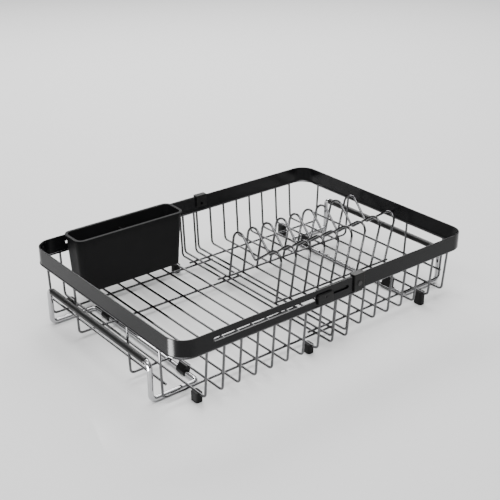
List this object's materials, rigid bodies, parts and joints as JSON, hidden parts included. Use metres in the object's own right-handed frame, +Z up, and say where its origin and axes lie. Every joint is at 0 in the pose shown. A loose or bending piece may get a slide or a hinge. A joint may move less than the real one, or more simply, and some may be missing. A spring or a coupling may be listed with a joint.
{
  "type": "dish drying rack",
  "caption": "Expandable wire dish rack: two sliding baskets with flat black rims, M-shaped plate dividers, a hanging utensil holder and folding chrome support arms.",
  "frame": {"origin": "on the counter that the feet stand on, under the middle of the rack with its baskets extended as stored", "axes": "+Z up; +X along the rack, from the outer basket's closed end to the inner basket's closed end; +Y to the long side that the utensil holder hangs on"},
  "size_m": [0.448, 0.306, 0.0936],
  "materials": {
    "rim_coat": "satin black powder coat",
    "wire_chrome": "polished dark nickel chrome",
    "arm_chrome": "bright polished chrome",
    "holder_plastic": "fine matte moulded black",
    "clip_plastic": "moulded black",
    "rivet_black": "black coated steel",
    "foot_rubber": "matte black",
    "grip_rubber": "smooth matte black sleeve"
  },
  "bodies": {
    "outer_basket": {"outer_rim_band": "rim_coat", "outer_frame_wire": "wire_chrome", "outer_end_wire": "wire_chrome", "outer_hoop_01": "wire_chrome", "outer_hoop_02": "wire_chrome", "outer_hoop_03": "wire_chrome", "outer_hoop_04": "wire_chrome", "outer_hoop_05": "wire_chrome", "outer_hoop_06": "wire_chrome", "outer_hoop_07": "wire_chrome", "outer_hoop_08": "wire_chrome", "outer_hoop_09": "wire_chrome", "outer_hoop_10": "wire_chrome", "outer_floor_wire_1": "wire_chrome", "outer_floor_wire_2": "wire_chrome", "outer_floor_wire_3": "wire_chrome", "outer_floor_wire_4": "wire_chrome", "front_rail_guide": "clip_plastic", "back_rail_guide": "clip_plastic", "guide_rivets": "rivet_black", "left_arm_clips": "clip_plastic", "outer_feet": "foot_rubber"},
    "inner_basket": {"inner_rim_band": "rim_coat", "inner_frame_wire": "wire_chrome", "inner_end_wire": "wire_chrome", "inner_hoop_1": "wire_chrome", "inner_hoop_2": "wire_chrome", "inner_hoop_3": "wire_chrome", "inner_hoop_4": "wire_chrome", "inner_hoop_5": "wire_chrome", "inner_hoop_6": "wire_chrome", "inner_hoop_7": "wire_chrome", "inner_hoop_8": "wire_chrome", "inner_hoop_9": "wire_chrome", "inner_floor_wire_1": "wire_chrome", "inner_floor_wire_2": "wire_chrome", "inner_floor_wire_3": "wire_chrome", "inner_floor_wire_4": "wire_chrome", "divider_base_wire_front": "wire_chrome", "divider_base_wire_back": "wire_chrome", "plate_divider_1": "wire_chrome", "plate_divider_2": "wire_chrome", "plate_divider_3": "wire_chrome", "plate_divider_4": "wire_chrome", "plate_divider_5": "wire_chrome", "plate_divider_6": "wire_chrome", "plate_divider_7": "wire_chrome", "plate_divider_8": "wire_chrome", "plate_divider_9": "wire_chrome", "front_slider": "clip_plastic", "back_slider": "clip_plastic", "slider_rivets": "rivet_black", "right_arm_clips": "clip_plastic", "inner_feet": "foot_rubber"},
    "left_arm": {"left_arm_rod": "arm_chrome", "left_arm_grip": "grip_rubber"},
    "right_arm": {"right_arm_rod": "arm_chrome", "right_arm_grip": "grip_rubber"},
    "utensil_holder": {"utensil_holder": "holder_plastic"}
  },
  "joints": [
    {"name": "basket_slide", "type": "slide", "parent": "outer_basket", "child": "inner_basket", "axis": [1, 0, 0], "range_m": [-0.13, 0.024]},
    {"name": "left_arm_fold", "type": "hinge", "parent": "outer_basket", "child": "left_arm", "pos_m": [-0.161, 0, 0.0034], "axis": [0, -1, 0], "range_deg": [0, 180]},
    {"name": "right_arm_fold", "type": "hinge", "parent": "inner_basket", "child": "right_arm", "pos_m": [0.157, 0, 0.0034], "axis": [0, 1, 0], "range_deg": [0, 180]},
    {"name": "holder_lift", "type": "slide", "parent": "outer_basket", "child": "utensil_holder", "axis": [0, 0, 1], "range_m": [0, 0.08]}
  ]
}
